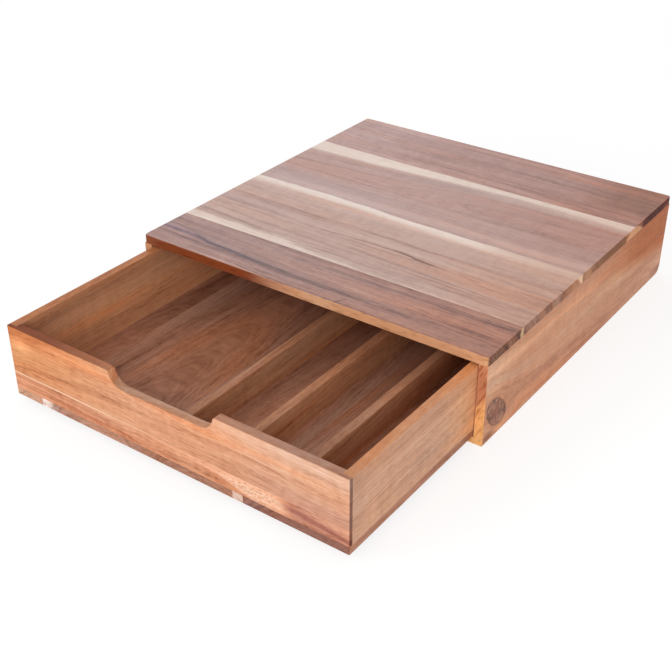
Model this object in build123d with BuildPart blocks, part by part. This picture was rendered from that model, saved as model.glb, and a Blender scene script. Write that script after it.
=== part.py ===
"""Coffee pod drawer in acacia: a low case that stands on the worktop, and a divided drawer inside it.

The case is an edge-glued top on two side boards, with a back board between them.  Each side board has
a ledge along its foot, and the drawer's floor slides on the two ledges.  The drawer's front and back
boards are rabbeted over its side boards, and three low dividers are housed across it from front to back.

Millimetres, +Z up, +Y towards the back.  The origin is on the worktop, midway between the case's back
and the face of the drawn-out drawer, so y = 0 is the middle of the whole object as it stands here.
"""
import os

from build123d import *

os.makedirs("parts", exist_ok=True)

# ---------------------------------------------------------------- the case
case_width = 330.0
case_depth = 332.0
case_height = 77.0
case_stock = 7.5  # thickness of the top, the side boards and the back board
top_seams = (52.0, 115.0, 151.0, 253.5)  # glue lines of the top, from its front edge
top_corner_radius = 3.0  # the top's upright corners
heel_radius = 8.0  # rounded lower back corner of each side board
ledge_width = 12.0  # how far a ledge stands in from its side board
ledge_height = 5.6

# ---------------------------------------------------------------- the drawer
pull_out = 156.5  # how far the drawer is drawn out of the case here
side_gap = 0.6  # running gap between the drawer and each side board
ledge_gap = 0.3  # between the drawer's floor and the ledges
top_gap = 2.1  # between the drawer's walls and the underside of the top
rear_gap = 2.5  # between the closed drawer and the back board
wall_stock = 7.5  # thickness of the drawer's four walls
floor_stock = 7.0
floor_seams = (28.7, 127.0, 225.7)  # glue lines of the drawer's floor, from its left edge
rabbet_lip = 3.0  # what the rabbet leaves of the front and back boards at the corners
front_seam_height = 13.6  # glue line of the drawer front, above the drawer's floor
corner_radius = 1.2  # the drawer's upright corners

# ---------------------------------------------------------------- finger notch and dividers
notch_depth = 12.4
notch_width = 97.0  # at the top of the drawer front
notch_offset = -2.75  # of its middle from the drawer's middle, to the left
notch_scoop_radius = 13.0  # hollow round of its two ends
notch_lip_radius = 2.5  # round where the ends meet the top edge
divider_stock = 7.4
divider_height = 23.5
bay_width = 44.0  # each narrow bay, clear between its walls
bay_count = 3
housing_depth = 2.5  # how far a divider is let into the front and back boards
housing_fit = 0.1  # play on each side of a divider in its housing

arris = 0.6  # sanded round on every edge that a hand meets

# ---------------------------------------------------------------- places that follow from the sizes
case_front = -(case_depth - pull_out) / 2
case_back = case_front + case_depth
case_mid = (case_front + case_back) / 2
underside = case_height - case_stock
side_inner = case_width / 2 - case_stock

drawer_width = 2 * (side_inner - side_gap)
drawer_length = case_depth - case_stock - rear_gap
drawer_front = case_front - pull_out
drawer_back = drawer_front + drawer_length
drawer_mid = (drawer_front + drawer_back) / 2
drawer_bottom = ledge_height + ledge_gap
floor_top = drawer_bottom + floor_stock
wall_top = underside - top_gap
wall_height = wall_top - floor_top
half_drawer = drawer_width / 2
half_inside = half_drawer - wall_stock
divider_pitch = bay_width + divider_stock
divider_places = [half_inside - bay_width - divider_stock / 2 - index * divider_pitch
                  for index in reversed(range(bay_count))]


def finish(builder, label):
    """Names a finished piece and writes it to its own file."""
    builder.part.label = label
    export_step(builder.part, f"parts/{label}.step")


def cut_between(low, high, plane_normal):
    """Keeps only what lies between two planes square to plane_normal, as a saw or a glue line does."""
    split(bisect_by=Plane(origin=plane_normal * low, z_dir=plane_normal), keep=Keep.TOP)
    split(bisect_by=Plane(origin=plane_normal * high, z_dir=plane_normal), keep=Keep.BOTTOM)


# ================================================================ case: top
# The panel is glued up from five boards and sanded as one, so it is shaped whole and then
# divided at its glue lines.
with BuildPart() as top_panel:
    with BuildSketch(Plane.XY.offset(underside)):
        with Locations((0, case_mid)):
            RectangleRounded(case_width, case_depth, top_corner_radius)
    extrude(amount=case_stock)
    fillet(top_panel.faces().sort_by(Axis.Z)[-1].edges(), arris)

top_lines = [case_front, *(case_front + seam for seam in top_seams), case_back]
for number, (front_line, back_line) in enumerate(zip(top_lines, top_lines[1:]), start=1):
    with BuildPart() as top_board:
        add(top_panel.part)
        cut_between(front_line, back_line, Vector(0, 1, 0))
    finish(top_board, f"top_board_{number}")

# ================================================================ case: side boards
# One length of L-shaped section each: the ledge that carries the drawer is worked in the solid.
with BuildPart() as side_panel_right:
    with BuildSketch(Plane.XZ.offset(-case_back)):
        with BuildLine():
            Polyline(
                (case_width / 2, 0),
                (case_width / 2, underside),
                (side_inner, underside),
                (side_inner, ledge_height),
                (side_inner - ledge_width, ledge_height),
                (side_inner - ledge_width, 0),
                close=True,
            )
        make_face()
    extrude(amount=case_depth)
    heel = side_panel_right.edges().filter_by(Axis.X).group_by(Axis.Z)[0].sort_by(Axis.Y)[-1]
    fillet(heel, heel_radius)
    outer_face = side_panel_right.faces().sort_by(Axis.X)[-1]
    fillet(outer_face.edges().filter_by(Axis.Z), arris)
finish(side_panel_right, "side_panel_right")

with BuildPart() as side_panel_left:
    mirror(side_panel_right.part, about=Plane.YZ)
finish(side_panel_left, "side_panel_left")

# ================================================================ case: back board
with BuildPart() as back_panel:
    with BuildSketch(Plane.XY.offset(ledge_height)):
        with Locations((0, case_back - case_stock / 2)):
            Rectangle(2 * side_inner, case_stock)
    extrude(amount=underside - ledge_height)
finish(back_panel, "back_panel")

# ================================================================ drawer: the four walls as assembled
# The walls are glued up as a ring and then sanded, so the ring carries the notch and every rounded
# edge, and each board is taken out of it along its joints.
with BuildPart() as wall_ring:
    with BuildSketch(Plane.XY.offset(floor_top)):
        with Locations((0, drawer_mid)):
            RectangleRounded(drawer_width, drawer_length, corner_radius)
            Rectangle(2 * half_inside, drawer_length - 2 * wall_stock, mode=Mode.SUBTRACT)
    extrude(amount=wall_height)
    with BuildSketch(Plane.XZ.offset(-drawer_front - wall_stock)) as notch:
        with Locations((notch_offset, wall_top - notch_depth)):
            Rectangle(notch_width, notch_depth + notch_scoop_radius, align=(Align.CENTER, Align.MIN))
        fillet(notch.vertices().group_by(Axis.Y)[0], notch_scoop_radius)
    extrude(amount=wall_stock, mode=Mode.SUBTRACT)
    notch_lips = (
        wall_ring.edges()
        .filter_by(Axis.Y)
        .filter_by_position(Axis.Z, wall_top, wall_top)
        .filter_by_position(Axis.X, notch_offset - notch_width / 2, notch_offset + notch_width / 2)
    )
    fillet(notch_lips, notch_lip_radius)
    rim = wall_ring.faces().filter_by(Axis.Z).group_by(Axis.Z)[-1]
    fillet(rim.edges(), arris)


# ================================================================ drawer: front and back boards
# Both boards run the full width of the drawer.  A rabbet at each end leaves a thin lip that covers
# the end of the side board, and shallow housings hold the dividers.
housing_places = [(place, 0) for place in divider_places]


def end_board_blank(outer_face, inward):
    """Draws a front or back board in plan; inward is +1 at the front and -1 at the back."""
    with Locations((0, outer_face + inward * rabbet_lip / 2)):
        Rectangle(drawer_width, rabbet_lip)
    with Locations((0, outer_face + inward * wall_stock / 2)):
        Rectangle(2 * half_inside, wall_stock)


def housings(inner_face, inward):
    """Draws the dividers' housings in plan, cut into an end board from its inner face."""
    with Locations((0, inner_face - inward * housing_depth / 2)):
        with Locations(housing_places):
            Rectangle(divider_stock + 2 * housing_fit, housing_depth)


with BuildPart() as front_board:
    add(wall_ring.part)
    with BuildSketch(Plane.XY.offset(floor_top)):
        end_board_blank(drawer_front, 1)
    extrude(amount=wall_height, mode=Mode.INTERSECT)
    with BuildSketch(Plane.XY.offset(floor_top)):
        housings(drawer_front + wall_stock, 1)
    extrude(amount=divider_height + housing_fit, mode=Mode.SUBTRACT)

front_seam = floor_top + front_seam_height
with BuildPart() as drawer_front_lower:
    add(front_board.part)
    cut_between(floor_top, front_seam, Vector(0, 0, 1))
finish(drawer_front_lower, "drawer_front_lower")

with BuildPart() as drawer_front_upper:
    add(front_board.part)
    cut_between(front_seam, wall_top, Vector(0, 0, 1))
finish(drawer_front_upper, "drawer_front_upper")

with BuildPart() as drawer_back_board:
    add(wall_ring.part)
    with BuildSketch(Plane.XY.offset(floor_top)):
        end_board_blank(drawer_back, -1)
    extrude(amount=wall_height, mode=Mode.INTERSECT)
    with BuildSketch(Plane.XY.offset(floor_top)):
        housings(drawer_back - wall_stock, -1)
    extrude(amount=divider_height + housing_fit, mode=Mode.SUBTRACT)
finish(drawer_back_board, "drawer_back")

# ================================================================ drawer: side boards
for side, name in ((-1, "left"), (1, "right")):
    with BuildPart() as drawer_side:
        add(wall_ring.part)
        with BuildSketch(Plane.XY.offset(floor_top)):
            with Locations((side * (half_inside + wall_stock / 2), drawer_mid)):
                Rectangle(wall_stock, drawer_length - 2 * rabbet_lip)
        extrude(amount=wall_height, mode=Mode.INTERSECT)
    finish(drawer_side, f"drawer_side_{name}")

# ================================================================ drawer: dividers
divider_length = drawer_length - 2 * wall_stock + 2 * housing_depth
for number, place in enumerate(divider_places, start=1):
    with BuildPart() as divider:
        with BuildSketch(Plane.XY.offset(floor_top)):
            with Locations((place, drawer_mid)):
                Rectangle(divider_stock, divider_length)
        extrude(amount=divider_height)
        fillet(divider.edges().filter_by(Axis.Y).group_by(Axis.Z)[-1], arris)
    finish(divider, f"divider_{number}")

# ================================================================ drawer: floor
# The floor lies under all four walls, with its edges flush with them.  Its boards run from front to
# back, so that their long grain slides along the ledges.
with BuildPart() as drawer_floor:
    with BuildSketch(Plane.XY.offset(drawer_bottom)):
        with Locations((0, drawer_mid)):
            RectangleRounded(drawer_width, drawer_length, corner_radius)
    extrude(amount=floor_stock)
    fillet(drawer_floor.faces().sort_by(Axis.Z)[0].edges(), arris)

floor_lines = [-half_drawer, *(-half_drawer + seam for seam in floor_seams), half_drawer]
for number, (left_line, right_line) in enumerate(zip(floor_lines, floor_lines[1:]), start=1):
    with BuildPart() as floor_board:
        add(drawer_floor.part)
        cut_between(left_line, right_line, Vector(1, 0, 0))
    finish(floor_board, f"floor_board_{number}")
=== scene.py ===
import math

import bpy
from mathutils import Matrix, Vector


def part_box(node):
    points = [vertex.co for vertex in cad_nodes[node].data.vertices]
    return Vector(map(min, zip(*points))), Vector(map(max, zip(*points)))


# Coffee pod drawer in edge-glued acacia.  Every board keeps the solid that it was built with, and this
# file gives each one its own wood: where it lay in the log, its sapwood, its streaks and its knots.
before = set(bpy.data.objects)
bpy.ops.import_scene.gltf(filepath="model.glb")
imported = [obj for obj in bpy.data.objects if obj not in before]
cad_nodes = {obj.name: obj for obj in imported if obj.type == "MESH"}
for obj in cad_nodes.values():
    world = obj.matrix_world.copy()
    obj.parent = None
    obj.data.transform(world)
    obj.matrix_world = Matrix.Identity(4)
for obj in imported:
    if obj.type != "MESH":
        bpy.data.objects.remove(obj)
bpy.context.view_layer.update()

# ================================================================ the view
# The object is seen from its front right corner and from above, as it stands on a worktop, with a lens
# of portrait length.
lens_length = 61.14
camera_place = (0.4690, -0.6925, 0.5070)
camera_turn = math.radians(35.75)  # to the left of straight back
camera_dip = math.radians(31.63)  # below the level

camera = bpy.data.objects.new("camera", bpy.data.cameras.new("camera"))
camera.data.lens = lens_length
camera.location = camera_place
camera.rotation_euler = (math.pi / 2 - camera_dip, 0.0, camera_turn)
bpy.context.scene.collection.objects.link(camera)
bpy.context.scene.camera = camera
bpy.context.scene.view_settings.view_transform = "Standard"

# ================================================================ the light
# Soft studio light: a white room, two soft boxes in front, one on either hand, and a weak one behind on
# the left.  Only the weak one lays a sheen on the oiled top.
room_light = 0.58
lamp_target = Vector((0.0, 0.0, 0.04))
sheen_lamp = "back_box"
lamps = (  # name, place in metres, width in metres, power in watts
    ("front_box", (-0.90, -1.45, 0.80), 1.1, 9.5),
    (sheen_lamp, (-0.90, 1.05, 0.95), 1.0, 3.0),
    ("right_box", (0.95, -1.15, 0.60), 0.9, 10.0),
)

for name, place, width, power in lamps:
    lamp = bpy.data.objects.new(name, bpy.data.lights.new(name, "AREA"))
    lamp.data.size = width
    lamp.data.energy = power
    lamp.location = place
    lamp.rotation_euler = (lamp_target - Vector(place)).to_track_quat("-Z", "Y").to_euler()
    lamp.visible_glossy = name == sheen_lamp
    bpy.context.scene.collection.objects.link(lamp)


class Value:
    """A number that varies over a surface: one node socket.  Arithmetic on it adds Math nodes."""

    def __init__(self, finish, socket):
        self.finish = finish
        self.socket = socket

    def output(self, which):
        """Another output of the same node."""
        return Value(self.finish, self.socket.node.outputs[which])

    def math(self, operation, *numbers):
        """One Math node with this value first."""
        inputs = dict(enumerate([self, *numbers]))
        return self.finish.node("ShaderNodeMath", {"operation": operation}, inputs)

    def __add__(self, number):
        return self.math("ADD", number)

    def __sub__(self, number):
        return self.math("SUBTRACT", number)

    def __mul__(self, number):
        return self.math("MULTIPLY", number)

    def __truediv__(self, number):
        return self.math("DIVIDE", number)

    def __rsub__(self, number):
        return self.math("MULTIPLY_ADD", -1.0, number)

    def __neg__(self):
        return self.math("MULTIPLY", -1.0)

    def __abs__(self):
        return self.math("ABSOLUTE")

    __radd__ = __add__
    __rmul__ = __mul__

    def larger(self, other):
        """The larger of this value and another."""
        return self.math("MAXIMUM", other)

    def rise(self, low, high):
        """0 below low, 1 above high, and a smooth step between them.  It falls where low is the larger."""
        limits = {"Value": self, "From Min": low, "From Max": high}
        return self.finish.node("ShaderNodeMapRange", {"interpolation_type": "SMOOTHSTEP"}, limits)

    def peak(self, reach):
        """1 where this value is 0, fading to almost nothing at twice the reach on either side."""
        share = self / reach
        return (-(share * share)).math("EXPONENT")

    def curve(self, *points):
        """A smooth line through the points (this value, result), level beyond its ends."""
        starts = [point[0] for point in points]
        ends = [point[1] for point in points]
        low, height = min(ends), max(ends) - min(ends)
        span = starts[-1] - starts[0]
        shape = [((start - starts[0]) / span, (end - low) / height) for start, end in points]
        share = self.finish.node("ShaderNodeFloatCurve", {"points": shape},
                                 {"Value": (self - starts[0]) / span})
        return share * height + low


class Finish:
    """The nodes of one material, or of the room, and the method that adds each of them."""

    def __init__(self, owner):
        owner.use_nodes = True
        self.tree = owner.node_tree
        self.tree.nodes.clear()

    def node(self, kind, settings, inputs, output=0):
        """Adds a node: its settings come first, then the numbers or links of its sockets."""
        added = self.tree.nodes.new(kind)
        for name, value in settings.items():
            if name == "stops":
                self.set_ramp(added.color_ramp, value)
            elif name == "points":
                self.set_curve(added.mapping, value)
            else:
                setattr(added, name, value)
        for name, value in inputs.items():
            if isinstance(value, Value):
                self.tree.links.new(value.socket, added.inputs[name])
            else:
                added.inputs[name].default_value = value
        return Value(self, added.outputs[output]) if added.outputs else None

    def set_ramp(self, ramp, stops):
        """Gives a colour ramp its stops: (place, colour) from 0 to 1."""
        while len(ramp.elements) < len(stops):
            ramp.elements.new(1.0)
        for element, (place, colour) in zip(ramp.elements, stops):
            element.position = place
            element.color = (*colour, 1.0)

    def set_curve(self, mapping, points):
        """Gives a float curve its points, from 0 to 1 both ways."""
        line = mapping.curves[0]
        while len(line.points) < len(points):
            line.points.new(1.0, 1.0)
        for point, place in zip(line.points, points):
            point.location = place
        mapping.extend = "HORIZONTAL"
        mapping.update()

    def mix(self, share, below, above, blend="MIX"):
        """Lays one colour over another by a share; each is a colour or an earlier mix."""
        sockets = {0: share}
        for socket, colour in ((6, below), (7, above)):
            sockets[socket] = colour if isinstance(colour, Value) else (*colour, 1.0)
        return self.node("ShaderNodeMix", {"data_type": "RGBA", "blend_type": blend}, sockets, 2)

    def seen(self):
        """1 for the rays that show a surface to the eye, also in a sheen, and 0 for those that light it."""
        ray = self.node("ShaderNodeLightPath", {}, {}, "Is Camera Ray")
        rays = ray + ray.output("Is Glossy Ray") + ray.output("Is Transmission Ray")
        return rays.rise(0.0, 1.0)


room = bpy.data.worlds.new("room")
bpy.context.scene.world = room
room_finish = Finish(room)
strength = room_light + (1.0 - room_light) * room_finish.seen()
white = room_finish.node("ShaderNodeBackground", {}, {"Color": (1.0, 1.0, 1.0, 1.0), "Strength": strength})
room_finish.node("ShaderNodeOutputWorld", {}, {"Surface": white})

# ================================================================ the floor
# A sweep of white paper under the object.  It keeps the object's soft shadow, and shows as white where
# no shadow falls.
floor_width = 8.0
floor_drop = 0.0002  # below the object's foot, so that the two faces don't touch
paper_white = 0.88  # what the paper gives back to the object
paper_seen = 0.33  # what of it the eye sees as paper, with shadows; the rest of its white is plain light
near_white = 1.07  # paper and plain light together, beside the object
far_white = 0.12  # what is added to that in the distance
distance_near, distance_far = 0.9, 2.6  # metres

bpy.ops.object.select_all(action="DESELECT")
bpy.ops.mesh.primitive_plane_add(size=floor_width, location=(0.0, 0.0, -floor_drop))
floor = bpy.context.active_object
floor.name = "floor"
paper = Finish(bpy.data.materials.new("white_paper"))
floor.data.materials.append(bpy.data.materials["white_paper"])
seen = paper.seen()
shade = paper_white - seen * (paper_white - paper_seen)
grey = paper.node("ShaderNodeCombineColor", {}, {0: shade, 1: shade, 2: shade})
matt = paper.node("ShaderNodeBsdfDiffuse", {}, {"Color": grey})
place = paper.node("ShaderNodeTexCoord", {}, {}, "Object")
distance = paper.node("ShaderNodeVectorMath", {"operation": "LENGTH"}, {0: place}, "Value")
plain_light = near_white - paper_seen + far_white * distance.rise(distance_near, distance_far)
glow = paper.node("ShaderNodeEmission", {}, {"Strength": seen * plain_light})
both = paper.node("ShaderNodeAddShader", {}, {0: matt, 1: glow})
paper.node("ShaderNodeOutputMaterial", {}, {"Surface": both})


# ================================================================ the top
# Five boards edge-glued into one panel and sanded as one, so that only their wood tells them apart.
# The front one is the darkest, and the others keep strips of pale sapwood along their edges.


class Board(Finish):
    """The wood of one board.  In millimetres from its origin, u runs along the grain, v across the
    board's face and w into the wood from that face.  Its directions say where each of them points."""

    tones = (0.0, 0.45, 0.75, 1.0)  # where a wood's four colours stand, from its lightest to its darkest
    sapwood = ((0.88, 0.715, 0.62), (0.66, 0.475, 0.395))  # its light and its dark grain
    warm = (1.14, 0.94, 0.74)  # tints of the patches that are warmer or cooler than the rest
    cool = (0.88, 0.97, 1.06)

    # what the grain is made of: each with its size along the board, across the rings and into the wood
    ripple = (38, 5, 5)
    sway = (240, 60, 60)
    bend = (85, 16, 30)
    patch = (80, 9, 60)
    band = (300, 15, 120)
    streak = (140, 3.3, 50)
    dark_line = (500, 5, 300)
    thread = (24, 0.85, 9)
    fleck = (5, 0.75, 5)
    cloud = (8, 22, 22)
    hue_patch = (260, 12, 90)
    pore = (11, 0.95, 0.95)

    sway_reach = 3.0  # how far the rings sway and bend from their circles
    bend_reach = 1.6
    line_share = 0.5  # depth of the dark lines and the flecks, beside the streaks and the threads
    fleck_share = 0.6
    cloud_depth = 0.05
    pore_depth = 0.20

    satin = 0.40  # roughness of the oiled wood and of the oil itself
    bare_shine = 0.12  # the wood under the oil hardly shines
    thread_roughness = 0.05
    pore_roughness = 0.10
    end_roughness = 0.16
    thread_height = 0.03  # millimetres
    pore_dip = 0.09
    relief = 0.6  # how strongly threads and pores are felt in the light

    facing_end = (0.45, 0.85)  # how squarely a face has to point a way, from not at all to fully
    facing_up = (0.5, 0.9)
    seed_step = 5.7  # keeps one board's noise and pores apart from the next one's
    pore_seed_step = 3.1
    hue_shift = 7.7  # keeps the hue's patches apart from the bands

    def __init__(self, node, origin, directions, seed):
        material = bpy.data.materials.new("acacia_" + node)
        super().__init__(material)
        cad_nodes[node].material_slots[0].material = material
        self.seed = seed
        self.coats = []
        coordinates = self.node("ShaderNodeTexCoord", {}, {}, "Object")
        place = self.node("ShaderNodeMapping", {"vector_type": "TEXTURE"}, {
            "Vector": coordinates,
            "Location": [size / 1000 for size in origin],
            "Scale": (0.001, 0.001, 0.001),
        })
        x = self.node("ShaderNodeSeparateXYZ", {}, {0: place})
        axes = {"x": x, "y": x.output(1), "z": x.output(2)}
        self.u, self.v, self.w = (
            -axes[way[1]] if way[0] == "-" else axes[way[1]] for way in directions)
        facing = self.node("ShaderNodeSeparateXYZ", {}, {0: coordinates.output("Normal")})
        self.facing = {"x": facing, "y": facing.output(1), "z": facing.output(2)}
        self.end = abs(self.facing[directions[0][1]]).rise(*self.facing_end)
        self.upward = self.facing["z"].rise(*self.facing_up)

    def noise(self, along, across, depth, detail=2.0):
        """Random variation between about -1 and 1, on coordinates that are counted in grains."""
        own_depth = depth + self.seed * self.seed_step
        place = self.node("ShaderNodeCombineXYZ", {}, {0: along, 1: across, 2: own_depth})
        texture = {"Vector": place, "Scale": 1.0, "Detail": detail, "Roughness": 0.55}
        share = self.node("ShaderNodeTexNoise", {}, texture)  # mostly from 0.25 to 0.75
        return share * 4.0 - 2.0

    def pattern(self, size, across, detail=2.0, shift=0.0):
        """Noise with grains of one size: along the board, across it and into the wood."""
        over = across / size[1]
        if shift:
            over = over + shift
        return self.noise(self.u / size[0], over, self.w / size[2], detail)

    def grow(self, pith, tilt=0.0, tone=0.42, bands=0.20, streaks=0.18, threads=0.11, lift=None):
        """Lays the growth rings round the pith, which is (across, below) this board's corner and leans
        by tilt.  They show as streaks along the board and as arcs on its ends."""
        self.fine = self.v + self.pattern(self.ripple, self.v)
        flow = self.fine if lift is None else self.fine - lift
        flow = flow + self.sway_reach * self.pattern(self.sway, flow)
        flow = flow + self.bend_reach * self.pattern(self.bend, flow)
        across = flow - pith[0]
        below = self.w - pith[1] - self.u * tilt
        radius = (across * across + below * below).math("SQRT")
        patches = 0.75 + 0.5 * self.pattern(self.patch, radius, detail=1.0)
        dark_lines = self.pattern(self.dark_line, radius, detail=1.0).peak(0.16)
        self.threads = self.pattern(self.thread, radius)
        self.tone = (
            tone
            + bands * self.pattern(self.band, radius)
            + streaks * patches * self.pattern(self.streak, radius, detail=3.0)
            + self.line_share * streaks * patches * dark_lines
            + threads * self.threads
            + self.cloud_depth * self.pattern(self.cloud, self.v, detail=1.0)
            + self.fleck_share * threads * self.pattern(self.fleck, radius, detail=1.0)
        )
        self.hue = self.pattern(self.hue_patch, radius, shift=self.hue_shift)
        along, over, deep = self.pore
        cells = self.node("ShaderNodeCombineXYZ", {}, {
            0: self.u / along, 1: self.v / over, 2: self.w / deep + self.seed * self.pore_seed_step})
        distance = self.node("ShaderNodeTexVoronoi", {}, {"Vector": cells, "Scale": 1.0})
        self.pores = distance.rise(0.30, 0.12)

    def mark(self, at, reach, depth):
        """Darkens a line that runs along the board at a place across it, or lightens it."""
        self.tone = self.tone + (self.fine - at).peak(reach) * depth

    def tint(self, where, colour):
        """Multiplies the wood's colour by another."""
        self.coats.append((where, colour, "MULTIPLY"))

    def coat(self, where, colour):
        """Lays a colour over the wood's."""
        self.coats.append((where, colour, "MIX"))

    def paint(self, heartwood, pale=None, end_tone=0.25, end_tint=(0.92, 0.80, 0.68), gloss=0.0):
        """Turns the tone into colour, lays sapwood and coats over it, and adds pores and end grain.
        Gloss is the weight of the oil film on its upward face."""
        tone = self.tone + self.pore_depth * self.pores + self.end * end_tone
        stops = list(zip(self.tones, heartwood))
        colour = self.node("ShaderNodeValToRGB", {"stops": stops}, {0: tone})
        colour = self.mix(self.hue.rise(0.0, 1.2), colour, self.warm, "MULTIPLY")
        colour = self.mix(self.hue.rise(0.0, -1.2), colour, self.cool, "MULTIPLY")
        if pale is not None:
            colour = self.mix(pale, colour, self.mix(tone.rise(0.1, 0.8), *self.sapwood))
        for where, coat, blend in [*self.coats, (self.end, end_tint, "MULTIPLY")]:
            colour = self.mix(where, colour, coat, blend)
        height = self.thread_height * self.threads - self.pore_dip * self.pores
        bump = {"Strength": self.relief, "Distance": 0.001, "Height": height}
        rough = (self.satin + self.thread_roughness * self.threads + self.pore_roughness * self.pores
                 + self.end_roughness * self.end)
        shader = self.node("ShaderNodeBsdfPrincipled", {}, {
            "Base Color": colour,
            "Roughness": rough,
            "Normal": self.node("ShaderNodeBump", {}, bump, "Normal"),
            "Specular IOR Level": self.bare_shine,
            "Coat Weight": gloss * self.upward,
            "Coat Roughness": self.satin,
        })
        self.node("ShaderNodeOutputMaterial", {}, {"Surface": shader})


# places across the top are counted from the case's front, and places along it from its middle
case_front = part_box("top_board_1")[0].y * 1000
top_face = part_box("top_board_1")[1].z * 1000
top_place = ((0.0, case_front, top_face), ("+x", "+y", "-z"))
top_gloss = 0.45

mauve = ((0.54, 0.32, 0.27), (0.365, 0.19, 0.162), (0.21, 0.095, 0.080), (0.06, 0.027, 0.026))
greyish_pink = ((0.59, 0.38, 0.33), (0.44, 0.248, 0.212), (0.29, 0.14, 0.115), (0.09, 0.04, 0.032))
tan = ((0.64, 0.43, 0.36), (0.465, 0.275, 0.225), (0.30, 0.15, 0.115), (0.10, 0.045, 0.035))
pale_tan = ((0.72, 0.495, 0.415), (0.52, 0.315, 0.257), (0.34, 0.18, 0.14), (0.12, 0.055, 0.043))

# The front board: a blue-black streak from its left end that turns brown, and redder wood to the right.
front = Board("top_board_1", *top_place, 1)
front.grow(pith=(-90, 70), tilt=0.03, tone=0.44, bands=0.28, streaks=0.28, threads=0.17)

streak_depth = 0.36
blue_black = (0.82, 0.78, 1.18)
brown_black = (0.82, 0.70, 0.66)
streak_place = front.u.curve((-165, 24.5), (-130, 24), (-110, 20.5), (-80, 18.5), (-40, 17), (165, 14.5))
streak_reach = front.u.curve((-165, 2.6), (-100, 1.9), (0, 1.4), (165, 1.1))
streak_fading = front.u.curve((-165, 1.0), (-60, 0.9), (20, 0.5), (110, 0.15))
streak = (front.fine - streak_place).peak(streak_reach) * streak_fading
front.tone = front.tone + streak_depth * streak
front.tint(streak * front.u.rise(-40, -80), blue_black)
front.tint(streak * front.u.rise(-80, -40), brown_black)

back_line = front.u.curve((-165, 43), (-60, 42), (60, 40), (165, 42))
back_depth = front.u.curve((-165, 0.08), (-40, 0.10), (40, 0.06), (165, 0.06))
light_depth = front.u.curve((-165, -0.18), (-60, -0.10), (50, -0.18), (110, 0.04), (165, 0.06))
corner_depth = 0.14 * (front.u + 35).peak(30)
under_depth = front.u.curve((-80, 0.0), (-50, 0.10), (60, 0.12), (100, 0.0))
front.mark(at=back_line, reach=2.4, depth=back_depth)
front.mark(at=27.0, reach=5.0, depth=light_depth)
front.mark(at=5.0, reach=3.2, depth=corner_depth)
front.mark(at=16.0, reach=2.6, depth=under_depth)
browner = (0.98, 0.93, 0.87)
front.tint(front.u.curve((-165, 0.2), (0, 0.8), (165, 1.0)), browner)

# a short split slants in from the edge
split_place = 31
split_slant = 0.5
split_depth = 0.5
split = (front.u - split_place - split_slant * front.v).peak(0.6) * front.v.rise(11, 4)
front.tone = front.tone + split_depth * split
redder = (1.12, 0.92, 0.72)
front.tint(front.u.rise(-60, 165), redder)

# the sawn edge is dark on the left and orange tan on the right
dark_edge = (0.235, 0.056, 0.017)
tan_edge = (0.64, 0.325, 0.170)
pale_edge = (1.06, 1.16, 1.26)
dark_grain = (0.64, 0.53, 0.48)
front_edge = (-front.facing["y"]).rise(0.4, 0.9)
edge_turn = front.u.rise(-60, 2)
edge_grain = front.pattern((14, 3, 2.2), front.v)
front.coat(front_edge * (1.0 - edge_turn), dark_edge)
front.coat(front_edge * edge_turn, tan_edge)
front.tint(front_edge * (front.u - 17).peak(20), pale_edge)
front.tint(front_edge * edge_grain.rise(-0.2, 1.2), dark_grain)
end_sapwood = 0.85 * front.end * front.fine.rise(47.2, 48.2)
front.paint(mauve, pale=end_sapwood, end_tint=(0.87, 1.0, 0.93), gloss=top_gloss)

# The second: sapwood along its front, a dark split line across its middle, orange wood to the right.
second = Board("top_board_2", *top_place, 2)
second.grow(pith=(-40, 60), tilt=0.06, tone=0.45, bands=0.22, streaks=0.24, threads=0.13)

split_line = second.u.curve((-165, 98), (-60, 95), (-20, 96), (18, 98.5), (45, 95), (62, 94), (165, 92))
split_reach = second.u.curve((-165, 0.7), (-40, 1.0), (10, 1.1), (45, 1.7), (62, 1.3), (75, 0.7), (165, 0.6))
split_depth = second.u.curve((-165, 0.03), (-60, 0.18), (-20, 0.42), (15, 0.50), (35, 0.75), (58, 0.75),
                             (75, 0.2), (165, 0.06))
second.mark(at=split_line, reach=split_reach, depth=split_depth)

branch_line = second.u.curve((-165, 93), (75, 93), (110, 87), (165, 78))
branch_depth = second.u.curve((60, 0.0), (85, 0.14), (165, 0.10))
thin_line = second.u.curve((-165, 68), (0, 66), (165, 63))
thin_depth = second.u.curve((-165, 0.16), (-60, 0.12), (0, 0.0))
front_light = second.u.curve((-165, 0.0), (-40, -0.08), (40, -0.16), (165, -0.06))
middle_light = second.u.curve((-165, -0.20), (-60, -0.02), (165, 0.0))
back_light = second.u.curve((-165, -0.04), (-70, -0.08), (20, -0.20), (165, -0.20))
second.mark(at=58.0, reach=5.0, depth=front_light)
second.mark(at=branch_line, reach=0.9, depth=branch_depth)
second.mark(at=thin_line, reach=2.2, depth=thin_depth)
second.mark(at=106.0, reach=7.0, depth=back_light)
second.mark(at=86.0, reach=7.0, depth=middle_light)

orange_right = (1.06, 0.95, 0.85)
light_left = (1.10, 1.03, 0.95)
cool_left = (0.93, 0.93, 0.99)
second.tint(second.u.rise(20, 150), orange_right)
second.tint((second.fine - 86).peak(8) * second.u.rise(-40, -130), light_left)
second.tint(second.fine.rise(96, 104) * second.u.rise(-40, -120), cool_left)

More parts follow.
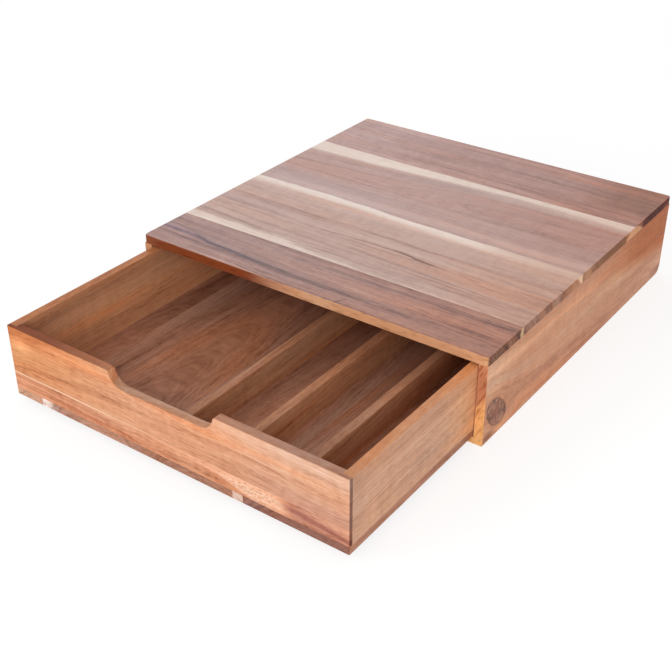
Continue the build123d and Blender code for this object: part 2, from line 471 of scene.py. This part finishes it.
sapwood_edge = second.u.curve((-165, 61.5), (-80, 62.5), (-50, 59), (-20, 55.8), (30, 53.6), (165, 52.8))
shoulder_depth = second.u.curve((-165, 0.15), (-70, 0.25), (-20, 0.38), (60, 0.20), (165, 0.0))
cream = (second.fine - sapwood_edge + 1.4 * second.threads + 0.6 * second.w).rise(3.0, -2.4)
shoulder = (second.fine - sapwood_edge).rise(13, 0) * shoulder_depth
second.paint(tan, pale=cream.larger(shoulder), end_tint=(0.86, 0.91, 0.86), gloss=top_gloss)

# The third: the palest, with sapwood along its back that runs on in the fourth's front edge.
third = Board("top_board_3", *top_place, 3)
third.grow(pith=(40, 60), tone=0.45, bands=0.12, streaks=0.13, threads=0.10)

end_line_depth = third.u.curve((-165, 0.10), (-60, 0.04), (60, 0.03), (120, 0.12), (165, 0.26))
third.mark(at=148.0, reach=16.0, depth=-0.24)
third.mark(at=131.0, reach=1.6, depth=0.12 * (third.u + 8).peak(22))
third.mark(at=116.0, reach=0.7, depth=end_line_depth)
warm_right = (1.03, 0.96, 0.88)
dark_corner = (0.94, 0.92, 0.92)
third.tint(third.u.rise(20, 160), warm_right)
third.tint(third.u.rise(60, 140) * third.fine.rise(134, 120), dark_corner)

sapwood_top = ((-165, 153), (-80, 155), (0, 152), (60, 151.5), (165, 148.5))  # its back, over the glue line
sapwood_low = third.u.curve((-165, 147.5), (-80, 148.5), (0, 146.5), (60, 144.5), (165, 143.5))
sapwood_fading = third.u.curve((-165, 0.95), (10, 0.95), (60, 0.95), (95, 0.45), (165, 0.12))
cream = (third.fine - sapwood_low + 1.4 * third.threads + 0.8 * third.w).rise(-8.0, 2.4)
cream = cream * (third.fine - third.u.curve(*sapwood_top)).rise(1.0, -0.4)
end_wedge = third.end * (third.fine - 141.5 - 0.9 * third.w).rise(-1.0, 1.0)
white_wedge = (1.14, 1.28, 1.40)
third.tint(end_wedge, white_wedge)
third.paint(pale_tan, pale=(cream * sapwood_fading).larger(end_wedge), end_tint=(0.93, 0.76, 0.56),
            gloss=top_gloss)

# The fourth: a redder heart between two dark lines that drift back to the right, sapwood at its back.
fourth = Board("top_board_4", *top_place, 4)
drift = fourth.u.curve((-165, 0), (-80, 6), (0, 17), (60, 23), (165, 25))
fourth.grow(pith=(60, 90), tone=0.39, bands=0.09, streaks=0.14, threads=0.11,
            lift=drift * fourth.v.rise(190, 214))

heart_back = fourth.u.curve((-165, 208), (-80, 214), (0, 224), (60, 231), (165, 237))
heart_back_depth = fourth.u.curve((-165, 0.24), (-60, 0.15), (40, 0.07), (165, 0.0))
heart_front = fourth.u.curve((-165, 194), (0, 191), (165, 193))
heart_front_depth = fourth.u.curve((-165, 0.11), (0, 0.10), (165, 0.02))
light_depth = fourth.u.curve((-165, -0.18), (-60, -0.34), (60, -0.30), (165, -0.44))
fourth.mark(at=heart_back, reach=1.5, depth=heart_back_depth)
fourth.mark(at=heart_front, reach=1.6, depth=heart_front_depth)
fourth.mark(at=161.0, reach=7.0, depth=light_depth)

heart = fourth.fine.rise(188, 196) * (fourth.fine - heart_back).rise(2, -4)
redder = (1.03, 0.93, 0.88)
warm_right = (1.02, 0.95, 0.90)
light_patch = (1.20, 1.14, 1.06)
cool_left = (0.97, 1.01, 1.06)
fourth.tint(heart, redder)
fourth.tint(fourth.u.rise(40, 160), warm_right)
fourth.tint((fourth.fine - 157).peak(3.5) * (fourth.u - 112).peak(34), light_patch)
fourth.tint(fourth.fine.rise(188, 160) * fourth.u.rise(40, -60), cool_left)

sapwood_low = fourth.u.curve((-165, 231.5), (-80, 234), (0, 239.5), (60, 241.5), (165, 240))
shoulder_depth = fourth.u.curve((-165, 0.05), (0, 0.2), (50, 0.5), (165, 0.45))
cream = (fourth.fine - sapwood_low + 1.8 * fourth.threads + 0.8 * fourth.w).rise(-1.5, 6.0)
shoulder = (fourth.fine - sapwood_low).rise(-12, 4) * shoulder_depth
under = fourth.end * fourth.w.rise(1.0, 6.0) * fourth.fine.rise(233, 239)
front_sapwood = (fourth.fine - fourth.u.curve(*sapwood_top)).rise(0.8, -0.8)
cream = cream.larger(shoulder).larger(under).larger(front_sapwood)
brown_end = (0.72, 0.72, 0.62)
pale_end = (1.45, 1.15, 1.30)
fourth.tint(fourth.end * fourth.fine.rise(150, 200), brown_end)
fourth.tint(fourth.end * fourth.fine.rise(232, 238), pale_end)
fourth.paint(greyish_pink, pale=cream, end_tint=(0.94, 0.84, 0.55), gloss=top_gloss)

# The fifth: dark, with a few light flames in its figure, and brown at its right back corner.
fifth = Board("top_board_5", *top_place, 5)
fifth.grow(pith=(225, 66), tilt=0.03, tone=0.46, bands=0.12, streaks=0.18, threads=0.11)
pinker = (1.06, 0.99, 0.97)
pale_left = (1.05, 1.13, 1.18)
brown_right = (0.90, 0.83, 0.77)
fifth.tint(1.0, pinker)
fifth.tint(fifth.u.rise(-50, -120), pale_left)
fifth.tint(fifth.u.rise(75, 130), brown_right)

front_line = fifth.u.curve((-165, 266), (-40, 270), (60, 268.5), (165, 270.5))
front_line_depth = fifth.u.curve((-165, 0.0), (-60, 0.10), (0, 0.20), (165, 0.16))
dark_cloud = fifth.u.curve((-165, 290), (-60, 292), (-20, 297), (60, 296), (165, 300))
dark_cloud_depth = fifth.u.curve((-165, 0.0), (-60, 0.08), (-10, 0.18), (60, 0.14), (165, 0.0))
flame_depth = -0.10
fifth.mark(at=280.0, reach=11.0, depth=0.15 * fifth.u.rise(-90, -30))
fifth.mark(at=front_line, reach=1.0, depth=front_line_depth)
fifth.mark(at=dark_cloud, reach=6.0, depth=dark_cloud_depth)
fifth.mark(at=279.0, reach=2.6, depth=flame_depth * (fifth.u + 22).peak(16))
fifth.mark(at=281.0, reach=2.4, depth=flame_depth * (fifth.u - 27).peak(18))

corner_brown = (0.84, 0.70, 0.52)
end_brown = (0.43, 0.12, 0.03)
end_tan = (1.10, 1.0, 0.78)
brown_corner = fifth.u.rise(85, 150) * fifth.fine.rise(262, 292)
dark_end = fifth.end * fifth.fine.rise(266, 276) * (fifth.fine + 6 * fifth.w).rise(362, 346)
fifth.tint(brown_corner, corner_brown)
fifth.tint(dark_end, end_brown)
fifth.tint(fifth.end * fifth.fine.rise(268, 262), end_tan)

sapwood_edge = fifth.u.curve((-165, 256), (-90, 254), (0, 252.8))
front_sapwood = (fifth.fine - sapwood_edge).rise(1.2, -1.0)
end_sapwood = fifth.end * (fifth.fine - 2.2 * fifth.w).rise(259, 255)
fifth.paint(greyish_pink, pale=front_sapwood.larger(end_sapwood), end_tone=0.22, gloss=top_gloss)

# ================================================================ the case's side boards
# Each is one board of tan wood with the drawer's ledge worked in the solid along its foot.  The right
# one has a knot low down at its front end, with the grain drawn round it.
side_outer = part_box("side_panel_right")[1].x * 1000
side_wood = ((0.79, 0.43, 0.26), (0.575, 0.255, 0.134), (0.37, 0.137, 0.068), (0.12, 0.042, 0.025))

right = Board("side_panel_right", (side_outer, case_front, 0.0), ("+y", "+z", "-x"), 6)
knot_place = (18.4, 21.2)  # from the front end, and up
knot_turn = math.radians(-41)
knot_size = (17.4, 10.4)  # half its length and half its width
knot_wood = (0.78, 0.86, 0.98)
knot_heart = (1.10, 0.92, 0.86)
beside = right.u - knot_place[0]
above = right.v - knot_place[1]
along = (beside * math.cos(knot_turn) + above * math.sin(knot_turn)) / knot_size[0]
across = (above * math.cos(knot_turn) - beside * math.sin(knot_turn)) / knot_size[1]
knot = (along * along + across * across).math("SQRT")  # 1 on the knot's edge
spokes = right.noise(along / knot * 2.2, across / knot * 2.2, knot * 0.5, 1.0)
knot = knot + 0.08 * right.pattern((5, 5, 6), right.v)
drawn_round = above * 0.8 * knot.rise(3.2, 0.8)
right.grow(pith=(-30, 60), tilt=0.04, tone=0.40, bands=0.22, streaks=0.12, threads=0.10, lift=drawn_round)

inside = knot.rise(1.05, 0.95)
cracks = spokes.peak(0.10) * knot.rise(0.12, 0.3) * knot.rise(0.95, 0.7)
mottle = right.pattern((3, 3, 3), right.v)
trail = right.u.curve((25, 39), (50, 30), (100, 22), (180, 12))  # the line that the knot leaves behind it
trail_depth = right.u.curve((20, 0.0), (32, 0.24), (60, 0.16), (120, 0.08), (200, 0.0))
right.mark(at=trail, reach=2.6, depth=trail_depth)
knot_depth, mottle_depth, crack_depth, rim_depth = 0.22, 0.20, 0.25, 0.20
right.tone = (right.tone + inside * (knot_depth + mottle_depth * mottle)
              + crack_depth * cracks + rim_depth * (knot - 1.0).peak(0.07))
right.tint(inside, knot_wood)
right.tint((right.u - 18).peak(5) * (right.v - 22).peak(5), knot_heart)

# golden wood high up at its back end, a paler foot under it, and dark smudges at the foot's corners
golden = (0.82, 0.44, 0.06)
pale_foot = (1.15, 1.25, 1.38)
pale_patch = (1.12, 1.20, 1.20)
brown_patch = (0.90, 0.82, 0.72)
pale_top = (1.17, 1.38, 1.50)
yellow_foot = (1.15, 1.12, 0.95)
smudge = (0.40, 0.34, 0.32)
heel_smudge = (0.62, 0.55, 0.55)
golden_line = right.u.curve((140, 62), (250, 38), (332, 26))
right.tint(right.u.rise(165, 285) * (right.fine - golden_line).rise(-6, 10), golden)
right.tint(right.u.rise(210, 320) * right.fine.rise(28, 12), pale_foot)
right.tint((right.u - 228).peak(34) * (right.v - 44).peak(9), pale_patch)
right.tint((right.u - 300).peak(25) * (right.v - 30).peak(6), brown_patch)
right.tint((right.u - 8).peak(34) * (right.v - 57).peak(16), pale_top)
right.tint((right.u - 27).peak(8) * (right.v - 5).peak(4), yellow_foot)
right.tint((right.u - 7).peak(8) * (right.v - 4).peak(4), smudge)
right.tint((right.u - 325).peak(7) * (right.v - 7).peak(3.2), heel_smudge)

# the front end grain: red brown above, orange at the foot, with swirled rings and fine rays
brown_end = (0.62, 0.255, 0.132)
orange_foot = (1.0, 0.54, 0.215)
dark_ring = (0.66, 0.50, 0.38)
dark_ray = (0.76, 0.64, 0.54)
front_end = right.end * (-right.facing["y"]).rise(0.0, 0.5)
swirl = right.noise((right.v + 1.8 * right.w) / 5, (right.w - 0.4 * right.v) / 14, 0.0)
rays = right.noise(right.v / 12, (right.w + 0.25 * right.v + 2 * swirl) / 0.8, 0.0)
foot = (right.v + 1.2 * right.w + 3 * swirl).rise(46, 34)
right.coat(front_end * 0.9, brown_end)
right.coat(front_end * foot, orange_foot)
right.tint(front_end * swirl.rise(-0.2, 1.0), dark_ring)
right.tint(front_end * rays.rise(-0.2, 1.0), dark_ray)
right.paint(side_wood, end_tint=(1.0, 1.0, 1.0))

left_end_wood = (0.62, 0.34, 0.20)
left = Board("side_panel_left", (-side_outer, case_front, 0.0), ("+y", "+z", "+x"), 7)
left.grow(pith=(95, 45), tilt=-0.05, bands=0.22, streaks=0.14)
left.coat(left.end * 0.7, left_end_wood)
left.paint(side_wood, end_tone=0.05)

# ================================================================ the case's back board
# A plain board of the same tan wood, glued in between the side boards.  It stands on their ledges and
# closes the case under the top.
case_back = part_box("back_panel")[1].y * 1000
back = Board("back_panel", (0.0, case_back, 0.0), ("+x", "+z", "-y"), 8)
back.grow(pith=(38, 30), tilt=0.06)
back.paint(side_wood)

# ================================================================ the drawer's front
# Two pieces glued edge to edge, the lower one narrow.  A pale line of glue and sapwood marks the joint.
# Both have their end grain on the thin lips at the corners, and their upward faces are painted darker, a
# painted shade for the weaker light from above.
drawer_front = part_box("drawer_front_upper")[0].y * 1000
glue_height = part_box("drawer_front_lower")[1].z * 1000
front_place = ((0.0, drawer_front, 0.0), ("+x", "+z", "+y"))
orange_wood = ((0.88, 0.53, 0.35), (0.715, 0.342, 0.188), (0.49, 0.19, 0.092), (0.14, 0.045, 0.022))
# painted shade for the upward faces, which get less light from above than the front
painted_rim_shade = (0.62, 0.54, 0.52)
lip_tint = (0.44, 0.42, 0.46)

# The upper piece: orange at its left, pinker to the right, with a stain in its left upper corner.
upper = Board("drawer_front_upper", *front_place, 9)
upper.grow(pith=(-50, 80), tilt=0.02, tone=0.46, bands=0.18, streaks=0.12, threads=0.14)

high_line = upper.u.curve((-157, 32), (-120, 36), (-80, 40), (0, 43.5), (60, 46), (157, 47))
high_depth = upper.u.curve((-157, 0.10), (-80, 0.20), (20, 0.14), (157, 0.09))
low_line = upper.u.curve((-157, 29), (157, 40))
low_depth = upper.u.curve((-157, 0.03), (-80, 0.07), (0, 0.05), (157, 0.0))
upper.mark(at=high_line, reach=1.8, depth=high_depth)
upper.mark(at=low_line, reach=2.6, depth=low_depth)

orange_left = (1.0, 0.81, 0.54)
stained = (0.72, 0.58, 0.46)
pale_spot = (1.35, 1.45, 1.55)
pinker = (0.94, 1.03, 1.16)
duller = (0.92, 0.92, 0.92)
pale_low_left = (1.04, 1.15, 1.32)
pale_high_right = (0.98, 1.05, 1.12)
dull_low_right = (0.92, 0.90, 0.98)
left_end = upper.u.rise(0, -150)
stain_edge = upper.fine - 0.1 * upper.u + 4 * upper.pattern((14, 5, 5), upper.v)
upper.tint(left_end, orange_left)
upper.tint(upper.fine.rise(52, 34), duller)
upper.tint(left_end * upper.fine.rise(40, 30), pale_low_left)
upper.tint(left_end * stain_edge.rise(68, 80), stained)
upper.tint((upper.u + 146).peak(11) * (upper.v - 54).peak(5), pale_spot)
upper.tint(upper.u.rise(20, 110), pinker)
upper.tint(upper.fine.rise(44, 56) * upper.u.rise(30, 120), pale_high_right)
upper.tint(upper.u.rise(60, 130) * upper.fine.rise(46, 28), dull_low_right)

glue_colour = (0.92, 0.68, 0.48)
glue_line = (upper.v - glue_height - 0.3).peak(0.7) * upper.u.rise(20, -90) * 0.85
notch_grey = (1.15, 1.48, 1.75)
dark_left_rim = (0.66, 0.56, 0.50)
upper.coat(glue_line, glue_colour)
# painted shade: the upper piece's upward faces are darker, less so on the notch's floor, and darker still at
# its left
upper.tint(upper.upward, painted_rim_shade)
upper.tint(upper.upward * upper.v.rise(62, 58), notch_grey)
upper.tint(upper.upward * upper.u.rise(-30, -130), dark_left_rim)
upper.tint(upper.end * upper.u.rise(100, 150), lip_tint)
upper.paint(orange_wood, end_tone=0.12, end_tint=(0.86, 0.90, 0.94))

# The lower piece: a light wedge that ends in a speckled figure, and a dark flame at its right.
lower = Board("drawer_front_lower", *front_place, 10)
lower.grow(pith=(-20, 60), tone=0.54, bands=0.26, streaks=0.24, threads=0.17)
browner = (0.96, 0.90, 0.86)
foot_brown = (0.98, 0.92, 0.92)
lower.tint(lower.u.rise(40, -60), browner)
lower.mark(at=17.5, reach=1.5, depth=0.14 * lower.u.rise(60, -20))
lower.tint((lower.fine - 16.5).peak(2.4) * lower.u.rise(60, 0), foot_brown)

wedge_line = lower.u.curve((-30, 26.5), (20, 24), (45, 21), (65, 16.5), (85, 11))
wedge_depth, figure_depth, speckle_depth = 0.20, 0.20, 0.75
wedge_wood = (1.04, 1.05, 1.12)
under_wedge = (0.92, 0.70, 0.54)
wedge = (lower.fine - wedge_line).rise(-1.0, 1.0)
wedge = wedge * lower.u.rise(-40, 0) * lower.u.rise(112, 98)
speckle = lower.pattern((2.6, 1.2, 2), lower.v)
figure = (lower.u - 77).peak(22) * (lower.v - 20.5).peak(6)
below_wedge = lower.u.rise(20, 55) * lower.u.rise(112, 96) * (1.0 - wedge)
lower.tone = lower.tone - wedge_depth * wedge - figure * (figure_depth + speckle_depth * speckle)
lower.tint(wedge * (1.0 - figure), wedge_wood)
lower.tint(below_wedge * (0.7 + 0.5 * speckle), under_wedge)

flame_line = lower.u.curve((100, 22.5), (125, 20.5), (157, 16))
flame_reach = lower.u.curve((98, 1.4), (112, 4.2), (135, 3.4), (157, 2.0))
flame_wood = (0.64, 0.50, 0.54)
under_flame = (0.80, 0.77, 0.90)
over_flame = (0.90, 0.92, 1.08)
pale_left = (1.0, 1.11, 1.25)
over = lower.fine - flame_line
lower.tint(over.peak(flame_reach) * lower.u.rise(98, 112), flame_wood)
lower.tint(lower.u.rise(98, 118) * over.rise(3, -1), under_flame)
lower.mark(at=25.5, reach=2.6, depth=-0.12 * lower.u.rise(98, 112))
lower.tint(lower.u.rise(100, 120) * over.rise(-1, 3), over_flame)
lower.tint((lower.u + 60).peak(36) * lower.fine.rise(18, 21), pale_left)
lower.mark(at=22.5, reach=3.0, depth=0.10 * lower.u.rise(-20, -100))
lower.tint(lower.end, lip_tint)
lower.paint(orange_wood, end_tone=0.12)

# ================================================================ the drawer's back
# One board of the front's wood, in the full width and without the notch.  It covers the ends of the
# side boards with thin lips, as the front does.
drawer_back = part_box("drawer_back")[1].y * 1000
rear = Board("drawer_back", (0.0, drawer_back, 0.0), ("+x", "+z", "-y"), 11)
rear.grow(pith=(90, 50), tilt=0.03)
# painted shade on its upward face, for the weaker light from above
rear.tint(rear.upward, painted_rim_shade)
rear.paint(orange_wood)

# ================================================================ the drawer's side boards
# Straight-grained tan boards, let into rabbets of the front and the back and sanded flush with them.
# The left one is the browner of the two, partly in its wood and partly as painted shade.
drawer_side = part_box("drawer_side_right")[1].x * 1000
wall_wood = ((0.79, 0.485, 0.325), (0.63, 0.335, 0.203), (0.425, 0.195, 0.108), (0.14, 0.055, 0.032))
browner = (0.88, 0.78, 0.66)
# painted shade: the walls' upward tops darker and warmer, for how the weaker light from above falls on them
painted_wall_top_shade = (1.08, 0.88, 0.68)
# painted light: a glow of light bounced from the case onto the right side's back part
painted_bounce_light = (1.18, 1.08, 0.90)
grey_front = (0.90, 0.93, 0.97)
dark_top = (0.82, 0.78, 0.76)
for name, outer, inward, seed in (("left", -drawer_side, "+x", 12), ("right", drawer_side, "-x", 13)):
    wall = Board("drawer_side_" + name, (outer, drawer_front, 0.0), ("+y", "+z", inward), seed)
    wall.grow(pith=(-70, 50), tilt=0.05, bands=0.12, streaks=0.15, threads=0.14, lift=wall.u * 0.03)
    wall.tint(wall.u.rise(26, 4), grey_front)
    wall.tint(wall.fine.rise(46, 60), dark_top)
    if name == "right":
        # painted light: lighter and more orange towards the case, for light bounced off it
        wall.tint(wall.u.rise(95, 150), painted_bounce_light)
    else:
        # browner: partly its own wood, partly painted shade inside the drawer
        wall.tint(1.0, browner)
    # painted shade on the upward top
    wall.tint(wall.upward, painted_wall_top_shade)
    wall.paint(wall_wood)

# ================================================================ the dividers
# Three low boards of a warmer, browner wood.  They stand on the drawer's floor, with their ends housed
# in the front and the back.
divider_wood = ((0.62, 0.33, 0.19), (0.46, 0.215, 0.11), (0.29, 0.115, 0.055), (0.10, 0.035, 0.02))
# painted shade for the dividers' upward tops, which get less light from above
painted_divider_top_shade = (0.96, 0.86, 0.84)
for number in (1, 2, 3):
    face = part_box(f"divider_{number}")[1].x * 1000
    divider = Board(f"divider_{number}", (face, drawer_front, 0.0), ("+y", "+z", "-x"), 13 + number)
    divider.grow(pith=(20 + 40 * number, 30), tilt=0.04, streaks=0.22, threads=0.15)
    # painted shade on the upward top
    divider.tint(divider.upward, painted_divider_top_shade)
    divider.paint(divider_wood)

# ================================================================ the drawer's floor
# Four boards from front to back, glued edge to edge under the walls.  Their front ends show below the
# drawer's front: the second and the third keep a strip of sapwood.
floor_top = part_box("floor_board_1")[1].z * 1000
floor_place = ((0.0, drawer_front, floor_top), ("+y", "+x", "-z"))
floor_wood = ((0.56, 0.33, 0.25), (0.40, 0.205, 0.14), (0.25, 0.115, 0.075), (0.08, 0.035, 0.025))
floor_face = (1.04, 0.94, 0.84)
dark_mottle = (0.70, 0.58, 0.52)
strip_widths = {2: 8, 3: 9}  # of the sapwood, along the second's left edge and the third's right one
on_face = 0.15  # how strongly it shows inside the drawer
end_tints = {  # the front ends are light at the left and dark at the right
    1: (1.52, 1.66, 1.60),
    2: (1.20, 1.33, 1.42),
    3: (0.88, 0.82, 0.78),
    4: (0.66, 0.58, 0.62),
}
for number, end_tint in end_tints.items():
    plank = Board(f"floor_board_{number}", *floor_place, 16 + number)
    low, high = (corner.x * 1000 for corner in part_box(f"floor_board_{number}"))
    plank.grow(pith=((low + high) / 2 + 15, 50), tilt=0.04, streaks=0.24, threads=0.16)
    plank.tint(1.0 - plank.end, floor_face)
    mottle = plank.noise(plank.v / 5, plank.w / 3, plank.u / 20)
    plank.tint(plank.end * mottle.rise(-0.2, 1.2), dark_mottle)
    pale = None
    if number == 2:
        pale = (plank.fine - low - strip_widths[2]).rise(9, -4) * (on_face + 0.75 * plank.end)
    if number == 3:
        pale = (plank.fine - high + strip_widths[3]).rise(-1, 1) * (on_face + 0.8 * plank.end)
    plank.paint(floor_wood, pale=pale, end_tone=0.02, end_tint=end_tint)
